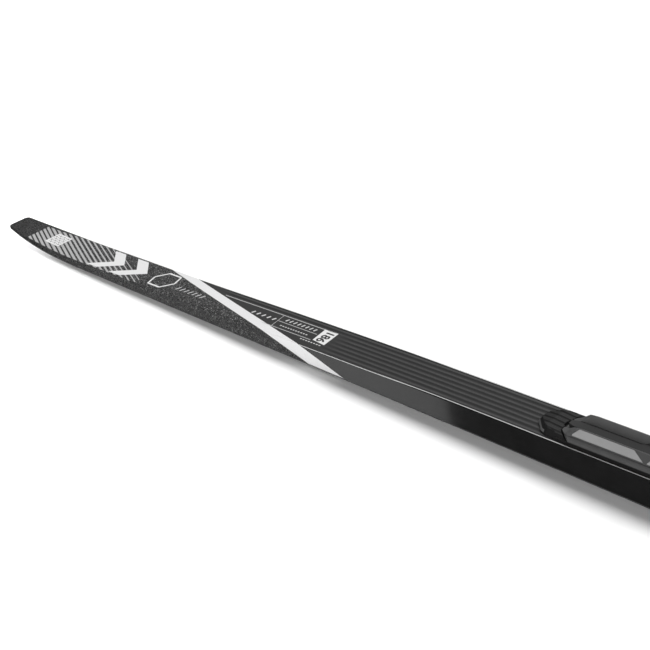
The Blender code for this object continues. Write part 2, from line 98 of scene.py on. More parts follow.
# How far in from the widest half width the ribs fade out
RIB_SIDE_START, RIB_SIDE_END = 0.0022, 0.0012

# The speckled front is darker near the tip
TIP_DARK_START, TIP_DARK_END, TIP_DARK_SHARE = 0.010, 0.210, 0.25

# White band: where its two edges cross the top's edges, as distances from the tip
BAND_FRONT_FAR, BAND_REAR_FAR = 0.315, 0.366
BAND_FRONT_NEAR, BAND_REAR_NEAR = 0.536, 0.590
BAND_FRONT_FOOT, BAND_REAR_FOOT = 0.602, 0.653
# Its way along the ski for each unit down the side, and about where its far foot lies
BAND_SLANT, BAND_FAR_FOOT = 2.8, 0.27

# The cap's material slots, the speckled side's being a darker copy of the speckled top that is
# painted shade; its side is where a face's normal lies this far across
SPECKLED, RIBBED, GLOSS_SIDE, SHADED_SPECKLED_SIDE = range(4)
SIDE_NORMAL = 0.75

# Printed layers: heights above the cap, thickness and distance between sections
INK_LIFT, OVERPRINT_LIFT, LINE_LIFT, TOP_PRINT_LIFT = 0.00006, 0.00010, 0.00012, 0.00014
INK_THICKNESS, LINE_THICKNESS = 0.00010, 0.00016
PRINT_STEP = 0.01


def hermite(x, nodes):
    """Smooth curve through (position, height, slope) nodes."""
    for (x0, z0, m0), (x1, z1, m1) in zip(nodes, nodes[1:]):
        if x <= x1:
            break
    span = x1 - x0
    t = min(max((x - x0) / span, 0.0), 1.0)
    start = (2 * t**3 - 3 * t**2 + 1) * z0 + (t**3 - 2 * t**2 + t) * span * m0
    return start + (3 * t**2 - 2 * t**3) * z1 + (t**3 - t**2) * span * m1


def base_z(x):
    if x < FRONT_CONTACT:
        return TIP_RISE * (1 - x / FRONT_CONTACT) ** 2
    if x > REAR_CONTACT:
        return TAIL_RISE * ((x - REAR_CONTACT) / (LENGTH - REAR_CONTACT)) ** 2
    return CAMBER * math.sin(math.pi * (x - FRONT_CONTACT) / (REAR_CONTACT - FRONT_CONTACT))


def top_z(x):
    if x < MOUNT_START:
        return hermite(x, TOP_FRONT)
    if x > MOUNT_END:
        return hermite(x, TOP_REAR)
    return TOP_FRONT[-1][1] + MOUNT_SLOPE * (x - MOUNT_START)


def corner(distance, radius):
    if distance >= radius:
        return 0.0
    return radius - math.sqrt(max(radius**2 - (radius - distance) ** 2, 0.0))


def half_width(x):
    to_tail = LENGTH - x
    tip = (HALF_WIDTH - TIP_HALF_WIDTH) * max(1 - x / TIP_TAPER, 0.0) ** 2
    tail = (HALF_WIDTH - TAIL_HALF_WIDTH) * max(1 - to_tail / TAIL_TAPER, 0.0) ** 2
    return HALF_WIDTH - tip - tail - corner(x, TIP_CORNER) - corner(to_tail, TAIL_CORNER)


def smooth_step(value, low, high):
    t = min(max((value - low) / (high - low), 0.0), 1.0)
    return t * t * (3 - 2 * t)


def rib_drop(x, y):
    """Depth of the ribbed top below its crests."""
    start, full = (FAR_RIB_START, FAR_RIB_FULL) if y > FAR_RIB_EDGE else (RIB_START, RIB_FULL)
    fade = smooth_step(x, start, full) * (1 - smooth_step(x, RIB_END - RIB_END_FADE, RIB_END))
    edge = 1 - smooth_step(abs(y), HALF_WIDTH - RIB_SIDE_START, HALF_WIDTH - RIB_SIDE_END)
    wave = 0.5 * (1 - math.cos(2 * math.pi * y / RIB_PITCH))
    return RIB_DEPTH * fade * edge * smooth_step(wave, 0.05, 0.95)


def cap_point(x, s, lift=0.0):
    """Point of the cap, s being the way across its top and on down its side."""
    half = half_width(x)
    side = 1 if s >= 0 else -1
    across = abs(s)
    flat = half - EDGE_RADIUS
    arc = EDGE_RADIUS * math.pi / 2
    top = top_z(x)
    if across <= flat:
        y, z, ny, nz = across, top - rib_drop(x, side * across), 0.0, 1.0
    elif across <= flat + arc:
        angle = (across - flat) / EDGE_RADIUS
        ny, nz = math.sin(angle), math.cos(angle)
        y, z = flat + EDGE_RADIUS * ny, top - EDGE_RADIUS * (1 - nz)
    else:
        y, z, ny, nz = half, top - EDGE_RADIUS - (across - flat - arc), 1.0, 0.0
    return Vector((x - MIDDLE, side * (y + ny * lift), z + nz * lift))


# ------------------------------------------------------------ mesh helpers

def shade(mesh, angle):
    """Smooth shading that keeps edges sharper than an angle in degrees."""
    mesh.shade_smooth()
    mesh.set_sharp_from_angle(angle=math.radians(angle))


def add_object(name, mesh, smooth_angle=0.0):
    obj = bpy.data.objects.new(name, mesh)
    bpy.context.scene.collection.objects.link(obj)
    if smooth_angle:
        shade(mesh, smooth_angle)
    return obj


def solid(name, verts, faces, smooth_angle):
    """Object from points and faces, with every face turned outwards."""
    mesh = bpy.data.meshes.new(name)
    mesh.from_pydata(verts, [], faces)
    edit = bmesh.new()
    edit.from_mesh(mesh)
    bmesh.ops.recalc_face_normals(edit, faces=edit.faces)
    edit.to_mesh(mesh)
    edit.free()
    return add_object(name, mesh, smooth_angle)


def loft(name, rings, smooth_angle=35.0):
    """Closed solid through rings of matching points."""
    count = len(rings[0])
    verts = [tuple(p) for ring in rings for p in ring]
    faces = []
    for r in range(len(rings) - 1):
        for i in range(count):
            j = (i + 1) % count
            a, b = r * count, (r + 1) * count
            faces.append((a + i, a + j, b + j, b + i))
    faces.append(tuple(reversed(range(count))))
    faces.append(tuple(range((len(rings) - 1) * count, len(rings) * count)))
    return solid(name, verts, faces, smooth_angle)


def stations(start, end, step=STATION_STEP):
    """Distances for sections, close together where a rounded end needs it."""
    turns = [1 - math.cos(a) for a in np.linspace(0.05, math.pi / 2, 9)]
    ends = [TIP_CORNER * turn for turn in turns]
    tail = [LENGTH - TAIL_CORNER * turn for turn in turns]
    count = int((end - start) / step)
    every = ends + list(np.linspace(start, end, count)) + tail
    kept = [start]
    for x in sorted(x for x in every if start < x < end):
        if x - kept[-1] > STATION_GAP:
            kept.append(x)
    if end - kept[-1] < STATION_GAP:
        kept.pop()
    return kept + [end]


def apply_boolean(target, tool, operation="DIFFERENCE"):
    modifier = target.modifiers.new("cut", "BOOLEAN")
    modifier.operation = operation
    modifier.solver = "EXACT"
    modifier.object = tool
    apply_modifiers(target)
    bpy.data.objects.remove(tool)


def apply_modifiers(obj):
    graph = bpy.context.evaluated_depsgraph_get()
    graph.update()
    mesh = bpy.data.meshes.new_from_object(obj.evaluated_get(graph), depsgraph=graph)
    obj.modifiers.clear()
    obj.data = mesh


def finish_piece(obj, body, slot, materials, *nodes):
    """Materials, body and the CAD nodes that a piece stands for; its slot argument, the material
    slot, is not used.
    """
    obj.data.materials.clear()
    for mat in materials:
        obj.data.materials.append(mat)
    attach(obj, body)
    if nodes:
        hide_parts(*nodes)
    return obj


def softened(node, width, segments=3, angle=28.0, weld=0.00001, coplanar=1.5):
    """Copy of a CAD node with rounded edges; a width of zero leaves its faces as they are."""
    edit = bmesh.new()
    edit.from_mesh(NODES[node].data)
    bmesh.ops.remove_doubles(edit, verts=edit.verts, dist=weld)
    if width > 0:
        bmesh.ops.dissolve_limit(
            edit, angle_limit=math.radians(coplanar), verts=edit.verts, edges=edit.edges)
    mesh = bpy.data.meshes.new(node + "_body")
    edit.to_mesh(mesh)
    edit.free()
    obj = add_object(node + "_body", mesh)
    if width > 0:
        bevel = obj.modifiers.new("edges", "BEVEL")
        bevel.width = width
        bevel.segments = segments
        bevel.limit_method = "ANGLE"
        bevel.angle_limit = math.radians(angle)
        bevel.use_clamp_overlap = True
        apply_modifiers(obj)
    flatten_faces(obj)
    return obj


def flatten_faces(obj, angle=40.0):
    """Smooth shading that stays flat on the large faces between rounded edges."""
    shade(obj.data, angle)
    modifier = obj.modifiers.new("normals", "WEIGHTED_NORMAL")
    modifier.keep_sharp = True
    apply_modifiers(obj)


# ------------------------------------------------------------ materials

class Tree:
    """Short way to write a node tree."""

    def __init__(self, tree):
        self.tree = tree

    def new(self, kind):
        return self.tree.nodes.new(kind)

    def feed(self, source, socket):
        """Give a socket a number or another node's output."""
        if isinstance(source, (int, float)):
            socket.default_value = source
        else:
            self.tree.links.new(source, socket)

    def maths(self, operation, *values):
        node = self.new("ShaderNodeMath")
        node.operation = operation
        for value, socket in zip(values, node.inputs):
            self.feed(value, socket)
        return node.outputs[0]

    def span_from(self, value, first, last, low, high, interpolation="LINEAR"):
        """Value between first and last turned into one between low and high."""
        node = self.new("ShaderNodeMapRange")
        node.interpolation_type = interpolation
        node.inputs["From Min"].default_value = first
        node.inputs["From Max"].default_value = last
        node.inputs["To Min"].default_value = low
        node.inputs["To Max"].default_value = high
        self.feed(value, node.inputs["Value"])
        return node.outputs["Result"]


# Sockets of a colour mix node
MIX_FACTOR, MIX_FIRST, MIX_SECOND, MIX_RESULT = 0, 6, 7, 2


class Nodes(Tree):
    """Short way to write a material's node tree."""

    def __init__(self, name):
        self.material = bpy.data.materials.new(name)
        self.material.use_nodes = True
        super().__init__(self.material.node_tree)
        self.shader = self.tree.nodes["Principled BSDF"]
        self.coordinates = self.new("ShaderNodeTexCoord").outputs["Object"]

    def position(self, axis):
        split = self.new("ShaderNodeSeparateXYZ")
        self.feed(self.coordinates, split.inputs[0])
        return split.outputs[axis]

    def stretched(self, scale):
        node = self.new("ShaderNodeMapping")
        node.inputs["Scale"].default_value = scale
        self.feed(self.coordinates, node.inputs["Vector"])
        return node.outputs["Vector"]

    def noise(self, scale, detail=3.0, rough=0.55, vector=None):
        node = self.new("ShaderNodeTexNoise")
        node.inputs["Scale"].default_value = scale
        node.inputs["Detail"].default_value = detail
        node.inputs["Roughness"].default_value = rough
        self.feed(vector or self.coordinates, node.inputs["Vector"])
        return node.outputs["Fac"]

    def cells(self, scale):
        """Distance to the middle of each of many small cells, and its random colour."""
        node = self.new("ShaderNodeTexVoronoi")
        node.inputs["Scale"].default_value = scale
        self.feed(self.coordinates, node.inputs["Vector"])
        return node.outputs["Distance"], node.outputs["Color"]

    def cell_value(self, scale):
        """A random value for each of many small cells."""
        split = self.new("ShaderNodeSeparateColor")
        self.feed(self.cells(scale)[1], split.inputs[0])
        return split.outputs[0]

    def across_ribs(self, fade=0.0002):
        """Value that is one on the crests of the ribs and falls into the grooves; it places the
        painted crest highlight and groove shade.
        """
        x, y = self.position("X"), self.position("Y")
        wave = self.maths("COSINE", self.maths("MULTIPLY", y, 2 * math.pi / RIB_PITCH))
        behind = self.span_from(x, RIB_START - MIDDLE, RIB_FULL - MIDDLE, 0.0, 1.0)
        far_behind = self.span_from(x, FAR_RIB_START - MIDDLE, FAR_RIB_FULL - MIDDLE, 0.0, 1.0)
        far = self.span_from(y, FAR_RIB_EDGE - fade, FAR_RIB_EDGE + fade, 0.0, 1.0)
        shown = self.maths("MAXIMUM", behind, self.maths("MULTIPLY", far_behind, far))
        return self.span_from(self.maths("MULTIPLY", wave, shown), -1.0, 1.0, 0.0, 1.0)

    def ramp(self, value, stops):
        """Grey tone for a value, from stops of (value, tone)."""
        node = self.new("ShaderNodeValToRGB")
        elements = node.color_ramp.elements
        while len(elements) < len(stops):
            elements.new(0.5)
        for element, (place, tone) in zip(elements, stops):
            element.position = place
            element.color = (tone, tone, tone, 1.0)
        self.feed(value, node.inputs["Fac"])
        return node.outputs["Color"]

    def mix(self, factor, first, second, blend="MIX"):
        node = self.new("ShaderNodeMix")
        node.data_type = "RGBA"
        node.blend_type = blend
        for source, target in (
            (factor, MIX_FACTOR), (first, MIX_FIRST), (second, MIX_SECOND),
        ):
            self.feed(source, node.inputs[target])
        return node.outputs[MIX_RESULT]

    def multiply(self, first, second):
        return self.mix(1.0, first, second, "MULTIPLY")

    def span(self, value, low, high):
        return self.span_from(value, 0.0, 1.0, low, high)

    def bump(self, height, distance, strength=1.0, normal=None):
        node = self.new("ShaderNodeBump")
        node.inputs["Strength"].default_value = strength
        node.inputs["Distance"].default_value = distance
        self.feed(height, node.inputs["Height"])
        if normal:
            self.feed(normal, node.inputs["Normal"])
        return node.outputs["Normal"]

    def done(self, colour, roughness=None, normal=None, **sockets):
        self.feed(colour, self.shader.inputs["Base Color"])
        if roughness is not None:
            self.feed(roughness, self.shader.inputs["Roughness"])
        if normal is not None:
            self.feed(normal, self.shader.inputs["Normal"])
        for socket, value in sockets.items():
            self.shader.inputs[socket.replace("_", " ")].default_value = value
        return self.material


def speckled_cap(name, share, specular, flake_scale=1080.0):
    """Dark lacquer over a chopped, glittering mat: fine flakes on soft mottling."""
    n = Nodes(name)
    flake = n.cell_value(flake_scale)
    steps = ((0.0, 0.001), (0.58, 0.005), (0.84, 0.046), (1.0, 0.340))
    flakes = n.ramp(flake, [(place, value * share) for place, value in steps])
    patches = n.ramp(n.noise(620.0, 3.0, 0.6), ((0.35, 0.30), (0.65, 1.60)))
    near_tip = n.span_from(
        n.position("X"), TIP_DARK_START - MIDDLE, TIP_DARK_END - MIDDLE, TIP_DARK_SHARE, 1.0)
    return n.done(
        n.multiply(n.multiply(flakes, patches), near_tip), n.span(flake, 0.25, 0.42),
        n.bump(flake, 0.00009, 0.7), Specular_IOR_Level=specular, Coat_Weight=0.10,
        Coat_Roughness=0.2)


def ribbed_black():
    """Satin black of the ribbed top, with faint lengthwise drawing marks, a painted highlight on the
    rib crests and painted shade in their grooves.
    """
    n = Nodes("ribbed_black")
    grain = n.noise(1.0, 4.0, 0.6, n.stretched((40.0, 1400.0, 1400.0)))
    fine = n.noise(1600.0, 3.0, 0.6)
    # Painted highlight and shade: the colour is raised on the rib crests and lowered in the grooves
    broad_tone_and_rib_light = n.ramp(n.across_ribs(), ((0.0, 0.45), (0.5, 0.82), (1.0, 2.10)))
    marks = n.ramp(grain, ((0.3, 0.018), (0.7, 0.026)))
    tone = n.multiply(marks, n.ramp(fine, ((0.3, 0.55), (0.7, 1.45))))
    normal = n.bump(fine, 0.00004, 0.4, n.bump(grain, 0.00003, 0.4))
    return n.done(n.multiply(tone, broad_tone_and_rib_light), n.span(fine, 0.36, 0.48), normal, Specular_IOR_Level=0.4)


def gloss_side():
    """Glossy near-black side with a slight orange-peel surface."""
    n = Nodes("gloss_side")
    peel = n.noise(140.0, 2.0, 0.5)
    colour = n.ramp(n.noise(60.0, 3.0), ((0.3, 0.0060), (0.7, 0.0090)))
    return n.done(
        colour, n.span(peel, 0.05, 0.09), n.bump(peel, 0.00002, 0.15),
        Specular_IOR_Level=0.5, Coat_Weight=0.6, Coat_Roughness=0.03)


def printed_ink(name, low, high, roughness=0.4, metallic=0.0):
    """Screen-printed ink: even tone with a fine dappled edge to its gloss."""
    n = Nodes(name)
    tone = n.ramp(n.noise(500.0, 3.0), ((0.3, low), (0.7, high)))
    normal = n.bump(n.noise(900.0, 3.0), 0.00002, 0.4)
    rough = n.span(n.noise(300.0), roughness - 0.06, roughness + 0.06)
    return n.done(tone, rough, normal, Metallic=metallic)


def moulded(name, low, high, roughness, grain=1500.0, depth=0.00004, specular=0.45):
    """Moulded plastic: spark-eroded grain, slight tone changes and gloss that varies with wear."""
    n = Nodes(name)
    broad = n.noise(55.0, 3.0, 0.5)
    texture = n.noise(grain, 3.0, 0.65)
    broad_tone_and_rib_light = n.ramp(broad, ((0.3, low), (0.7, high)))
    tone = n.mix(0.35, broad_tone_and_rib_light, n.ramp(texture, ((0.35, low), (0.65, high))))
    rough = n.span(broad, roughness - 0.07, roughness + 0.07)
    return n.done(tone, rough, n.bump(texture, depth, 0.5), Specular_IOR_Level=specular)


def ground_base():
    """Polyethylene base with the lengthwise lines of its stone grind."""
    n = Nodes("ground_base")
    lines = n.noise(1.0, 3.0, 0.7, n.stretched((18.0, 3200.0, 300.0)))
    colour = n.ramp(lines, ((0.3, 0.042), (0.7, 0.085)))
    return n.done(colour, n.span(lines, 0.34, 0.52), n.bump(lines, 0.00004, 0.6))


def brushed_steel():
    n = Nodes("brushed_steel")
    lines = n.noise(1.0, 3.0, 0.6, n.stretched((300.0, 2600.0, 2600.0)))
    colour = n.ramp(lines, ((0.3, 0.42), (0.7, 0.62)))
    return n.done(colour, n.span(lines, 0.24, 0.40), n.bump(lines, 0.00002, 0.4), Metallic=1.0)


def soft_rubber():
    n = Nodes("soft_rubber")
    fine = n.noise(1300.0, 4.0, 0.7)
    colour = n.ramp(n.noise(90.0), ((0.3, 0.016), (0.7, 0.026)))
    return n.done(colour, n.span(fine, 0.62, 0.82), n.bump(fine, 0.00006, 0.6))


def laminate_fibres():
    n = Nodes("laminate_fibres")
    weave = n.noise(1.0, 3.0, 0.6, n.stretched((60.0, 2200.0, 400.0)))
    tone = n.ramp(weave, ((0.3, 0.20), (0.7, 0.34)))
    return n.done(tone, n.span(weave, 0.35, 0.55), n.bump(weave, 0.00003))


def foam_core():
    n = Nodes("foam_core")
    cell = n.cells(900.0)[0]
    tone = n.ramp(cell, ((0.0, 0.42), (0.6, 0.66)))
    return n.done(tone, n.span(cell, 0.7, 0.9), n.bump(cell, 0.0002))


# ------------------------------------------------------------ ski pieces

def cap_slot(center, normal):
    """Material slot of one of the cap's faces: speckled in front of the band's middle."""
    x = center.x + MIDDLE
    depth = max(top_z(x) - center.z, 0.0)
    share = (HALF_WIDTH - max(min(center.y, HALF_WIDTH), -HALF_WIDTH)) / (2 * HALF_WIDTH)
    middle_far = (BAND_FRONT_FAR + BAND_REAR_FAR) / 2
    middle_near = (BAND_FRONT_NEAR + BAND_REAR_NEAR) / 2
    slant = BAND_SLANT * depth * (1 if center.y < 0 else -1)
    # Side faces in front of the band take the darker speckled copy, which is painted shade
    on_side = abs(normal.y) > SIDE_NORMAL
    if x < middle_far + (middle_near - middle_far) * share + slant:
        return SHADED_SPECKLED_SIDE if on_side else SPECKLED
    return GLOSS_SIDE if on_side else RIBBED


def cap_skin(materials):
    """Ribbed cap with rounded edges: speckled in front of the band, black behind.

    Each section has columns over half the top, then rows over the rounded edge and
    down the side; the inside is hollowed out above the base."""
    top_columns, edge_rows, side_rows = 45, 4, (0.04, 0.34, 0.67, 1.0)
    least_side, hollow_step, hollow_foot = 0.0002, 0.02, 0.001
    rings = []
    for x in stations(0.0, SHELL_END):
        flat = half_width(x) - EDGE_RADIUS
        arc = EDGE_RADIUS * math.pi / 2
        side = top_z(x) - EDGE_RADIUS - base_z(x) - BASE_THICKNESS - SHELL_GAP
        across = list(np.linspace(0.0, 1.0, top_columns) * flat)
        across += [flat + arc * (k + 1) / edge_rows for k in range(edge_rows)]
        across += [flat + arc + max(side, least_side) * share for share in side_rows]
        rings.append([cap_point(x, s) for s in [-s for s in across[::-1]] + across[1:]])
    skin = loft("topsheet_cap", rings, CAP_ANGLE)
    inner = []
    for x in stations(CAVITY_START, CAVITY_END, hollow_step):
        half, low, high = half_width(x) - CAP_WALL, base_z(x) - hollow_foot, top_z(x) - CAP_ROOF
        section = ((-half, low), (half, low), (half, high), (-half, high))
        inner.append([(x - MIDDLE, y, z) for y, z in section])
    apply_boolean(skin, loft("cap_hollow", inner, 0))
    finish_piece(skin, "ski", "topsheet", materials, "topsheet")
    for polygon in skin.data.polygons:
        polygon.material_index = cap_slot(polygon.center, polygon.normal)
    shade(skin.data, CAP_ANGLE)
    return skin


def running_base(mat):
    """Base sheet with its rounded centre groove and a small bevel at both edges."""
    rings = []
    groove, floor, depth, bevel = 0.0016, 0.00005, 0.0006, 0.00025
    groove_front, groove_rear = (0.14, 0.17), (1.77, 1.80)
    for x in stations(0.0, SHELL_END, 0.010):
        half, low = half_width(x), base_z(x)
        high = low + BASE_THICKNESS
        fade = smooth_step(x, *groove_front) * (1 - smooth_step(x, *groove_rear))
        ring = [(-half, high), (-half, low + bevel), (-half + bevel, low), (-groove, low)]
        for k in range(1, 8):
            angle = math.pi * k / 8
            ring.append((-groove * math.cos(angle), low + floor + depth * fade * math.sin(angle)))
        ring += [(groove, low), (half - bevel, low), (half, low + bevel), (half, high)]
        rings.append([(x - MIDDLE, y, z) for y, z in ring])
    return finish_piece(loft("running_base_sheet", rings), "ski", "base", [mat], "running_base")


def tail_guard(mat):
    """Moulded tail protector with three shallow grip grooves across it."""
    rings = []
    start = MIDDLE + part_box("tail_protector")[0].x
    grips, grip_width, grip_depth, radius = (0.003, 0.0055, 0.008), 0.0006, 0.0005, 0.0008
    for x in stations(start, LENGTH, 0.0006):
        half, low, high = half_width(x), base_z(x), top_z(x)
        groove = sum(math.exp(-((x - start - place) / grip_width) ** 2) for place in grips)
        high -= grip_depth * groove
        edge = min(radius, (high - low) * 0.3)
        ring = [(-half, low + edge), (-half + edge, low), (half - edge, low), (half, low + edge)]
        turns = [math.pi / 2 * k / 4 for k in range(5)]
        for side, angles in ((1, turns), (-1, turns[::-1])):
            for angle in angles:
                y = side * (half - edge * (1 - math.cos(angle)))
                ring.append((y, high - edge * (1 - math.sin(angle))))
        rings.append([(x - MIDDLE, y, z) for y, z in ring])
    return finish_piece(loft("tail_guard", rings), "ski", "black_plastic", [mat], "tail_protector")


# ------------------------------------------------------------ printed graphics

def on_cap(name, polygons, mat, lift=INK_LIFT, thickness=INK_THICKNESS, planes=()):
    """Thin printed layer from polygons of (distance, way across) laid on the cap.

    planes are (point, normal) lines; the layer is trimmed away on the side each normal
    points to."""
    edit = bmesh.new()
    for polygon in polygons:
        edit.faces.new([edit.verts.new((x, s, 0.0)) for x, s in polygon])

    def slice_at(point, normal, trim=False):
        everything = edit.verts[:] + edit.edges[:] + edit.faces[:]
        bmesh.ops.bisect_plane(
            edit, geom=everything, dist=1e-7, plane_co=(*point, 0.0), plane_no=(*normal, 0.0),
            clear_outer=trim)

    for point, normal in planes:
        slice_at(point, normal, True)
    xs = [v.co.x for v in edit.verts]
    widest = max(abs(v.co.y) for v in edit.verts)
    first = math.floor(min(xs) / PRINT_STEP) * PRINT_STEP + PRINT_STEP
    for x in np.arange(first, max(xs), PRINT_STEP):
        slice_at((x, 0.0), (1.0, 0.0))
    flat = HALF_WIDTH - EDGE_RADIUS
    if widest > flat:
        for k in range(5):
            for side in (-1, 1):
                slice_at((0.0, side * (flat + EDGE_RADIUS * math.pi / 8 * k)), (0.0, 1.0))
    bmesh.ops.triangulate(edit, faces=edit.faces[:])
    edit.verts.index_update()
    points = [(v.co.x, v.co.y) for v in edit.verts]
    count = len(points)
    verts = [tuple(cap_point(x, s, height)) for height in (lift, lift - thickness) for x, s in points]
    faces = []
    for face in edit.faces:
        loop = [v.index for v in face.verts]
        faces.append(tuple(loop))
        faces.append(tuple(i + count for i in reversed(loop)))
    for edge in edit.edges:
        if len(edge.link_faces) == 1:
            a, b = (v.index for v in edge.verts)
            faces.append((a, b, b + count, a + count))
    edit.free()
    return finish_piece(solid(name, verts, faces, 40.0), "ski", "topsheet", [mat])


def strip(x0, s0, x1, s1, width):
    """Thin straight bar between two points."""
    along = Vector((x1 - x0, s1 - s0)).normalized()
    across = Vector((-along.y, along.x)) * width / 2
    return [
        (x0 + across.x, s0 + across.y), (x0 - across.x, s0 - across.y),
        (x1 - across.x, s1 - across.y), (x1 + across.x, s1 + across.y),
    ]


def side_depth(x):
    """Way across at which the side meets the base, at a distance."""
    wrap = half_width(x) - EDGE_RADIUS + EDGE_RADIUS * math.pi / 2
    return wrap + top_z(x) - EDGE_RADIUS - base_z(x) - BASE_THICKNESS - SHELL_GAP


def white_band(mat):
    """Diagonal band across the top that runs down both sides to the base."""
    edge = HALF_WIDTH
    foot_front, foot_rear = side_depth(BAND_FRONT_FOOT), side_depth(BAND_REAR_FOOT)
    outline = [
        (BAND_FRONT_FAR, edge), (BAND_REAR_FAR, edge), (BAND_REAR_NEAR, -edge),
        (BAND_REAR_FOOT, -foot_rear), (BAND_FRONT_FOOT, -foot_front), (BAND_FRONT_NEAR, -edge),
    ]
    drop = BAND_SLANT * (side_depth(BAND_FAR_FOOT) - edge)
    front_foot, rear_foot = BAND_FRONT_FAR - drop, BAND_REAR_FAR - drop
    far = [
        (BAND_FRONT_FAR, edge), (front_foot, side_depth(front_foot)),
        (rear_foot, side_depth(rear_foot)), (BAND_REAR_FAR, edge),
    ]
    on_cap("white_band", [outline], mat)
    on_cap("white_band_far_side", [far], mat)


def silver_stripes(mat):
    """Slanted stripes behind the tip, each one thinner than the one before it."""
    lean, pitch, thin, extra = 2.6, 0.0146, 0.0029, 0.0060
    far_edge, near_edge = 0.0212, -0.0215
    first, last, front_end, rear_end = 0.0461, 0.2070, 0.0515, 0.300
    near_trim, near_slope, far_trim, far_slope = -0.0160, -0.036, 0.0150, -0.075
    stripes = []
    for k in range(-7, 12):
        far = first + pitch * k
        share = min(max((far - first) / (last - first), 0.0), 1.0)
        half = (thin + extra * (1 - share) ** 0.9) / 2
        near = far + lean * (far_edge - near_edge)
        stripes.append([
            (far - half, far_edge), (far + half, far_edge),
            (near + half, near_edge), (near - half, near_edge),
        ])
    planes = [
        ((front_end, 0.0), (-1.0, 0.0)), ((rear_end, 0.0), (1.0, 0.0)),
        ((0.0, near_trim), tuple(Vector((near_slope, -1.0)).normalized())),
        ((front_end, far_trim), tuple(Vector((far_slope, 1.0)).normalized())),
    ]
    on_cap("silver_stripes", stripes, mat, planes=planes)


def tip_patch(mat, dots):
    """Pale patch near the tip with a plain grid of larger and smaller squares on it."""
    x0, x1, s0, s1 = 0.0825, 0.1130, -0.0106, 0.0120
    columns, rows, large, small = 6, 5, 0.00131250, 0.000735
    on_cap("tip_patch", [[(x0, s0), (x1, s0), (x1, s1), (x0, s1)]], mat, OVERPRINT_LIFT)
    squares = []
    for i in range(columns):
        for j in range(rows):
            x = x0 + (x1 - x0) * (i + 1) / (columns + 1)
            s = s0 + (s1 - s0) * (j + 1) / (rows + 1)
            half = large if (i + j) % 2 else small
            corners = ((-half, -half), (half, -half), (half, half), (-half, half))
            squares.append([(x + u, s + v) for u, v in corners])
    on_cap("tip_patch_squares", squares, dots, TOP_PRINT_LIFT)


def bold_marks(mat):
    """Large slanted marks of the front half: two bold chevrons, an open frame and ticks."""
    chevron_starts, frame_start, tick_start, tick_pitch = (0.198, 0.246), 0.312, 0.364, 0.0075
    frame_width, tick_width = 0.0022, 0.0011

    def skew(points, x, lean=0.20):
        return [(x + u + lean * s, s) for u, s in points]

    marks = []
    for x in chevron_starts:
        upper = [(0.0, 0.0195), (0.022, 0.0195), (0.050, 0.0), (0.028, 0.0)]
        lower = [(0.028, 0.0), (0.050, 0.0), (0.022, -0.0195), (0.0, -0.0195)]
        marks += [skew(upper, x), skew(lower, x)]
    on_cap("bold_chevrons", marks, mat, OVERPRINT_LIFT)
    outline = [(0.008, 0.0140), (0.030, 0.0140), (0.038, 0.0)]
    outline += [(0.030, -0.0140), (0.008, -0.0140), (0.0, 0.0)]
    outline = skew(outline, frame_start)
    bars = [strip(*a, *b, frame_width) for a, b in zip(outline, outline[1:] + outline[:1])]
    on_cap("open_frame_mark", bars, mat, OVERPRINT_LIFT)
    ticks = []
    for k in range(7):
        x = tick_start + tick_pitch * k
        ticks.append(strip(x - 0.0012, -0.0075, x + 0.0016, -0.0012, tick_width))
    on_cap("small_ticks", ticks, mat, OVERPRINT_LIFT)


def fine_lines(mat):
    """Thin rules of the label behind the band, with rows of plain bars."""
    bars = [
        strip(0.4315, 0.0115, 0.6140, 0.0115, 0.0007),
        strip(0.5315, 0.0112, 0.5355, -0.0102, 0.0006),
        strip(0.5345, 0.0006, 0.5950, 0.0006, 0.0006),
        strip(0.5180, -0.0102, 0.5970, -0.0102, 0.0006),
    ]
    for count, start, pitch, run, s0, s1, width in (
        (5, 0.4920, 0.0085, 0.0022, -0.0012, 0.0030, 0.0024),
        (8, 0.5425, 0.0062, 0.0016, 0.0036, 0.0078, 0.0020),
        (11, 0.5440, 0.0040, 0.0024, -0.0052, -0.0052, 0.0013),
        (8, 0.5850, 0.0040, 0.0024, -0.0135, -0.0135, 0.0013),
    ):
        for k in range(count):
            x = start + pitch * k
            bars.append(strip(x, s0, x + run, s1, width))
    on_cap("fine_lines", bars, mat)


def digit_polygons(text, size, weight=0.030):
    """Triangles of a number in the plain built-in font, centred on the origin.

    weight thickens the strokes; a much larger one breaks the 6."""
    curve = bpy.data.curves.new("digits", "FONT")
    curve.body = text
    curve.size = size
    curve.offset = size * weight
    curve.align_x = "CENTER"
    curve.align_y = "CENTER"
    source = bpy.data.objects.new("digits", curve)
    bpy.context.scene.collection.objects.link(source)
    mesh = source.to_mesh()
    polygons = [[tuple(mesh.vertices[i].co[:2]) for i in p.vertices] for p in mesh.polygons]
    source.to_mesh_clear()
    bpy.data.objects.remove(source)
    return polygons


def size_label(white, dark):
    """White field with the ski's length in centimetres, read across the ski."""
    field = [(0.5990, -0.0090), (0.6180, -0.0108), (0.6146, 0.0122), (0.5952, 0.0118)]
    on_cap("size_field", [field], white)
    middle_x, middle_s = (sum(values) / len(field) for values in zip(*field))
    digit_size, digit_stretch = 0.0132, 1.15
    digits = [
        [(middle_x + v * digit_stretch, middle_s - u) for u, v in polygon]
        for polygon in digit_polygons("186", digit_size)
    ]
    on_cap("size_digits", digits, dark, OVERPRINT_LIFT)


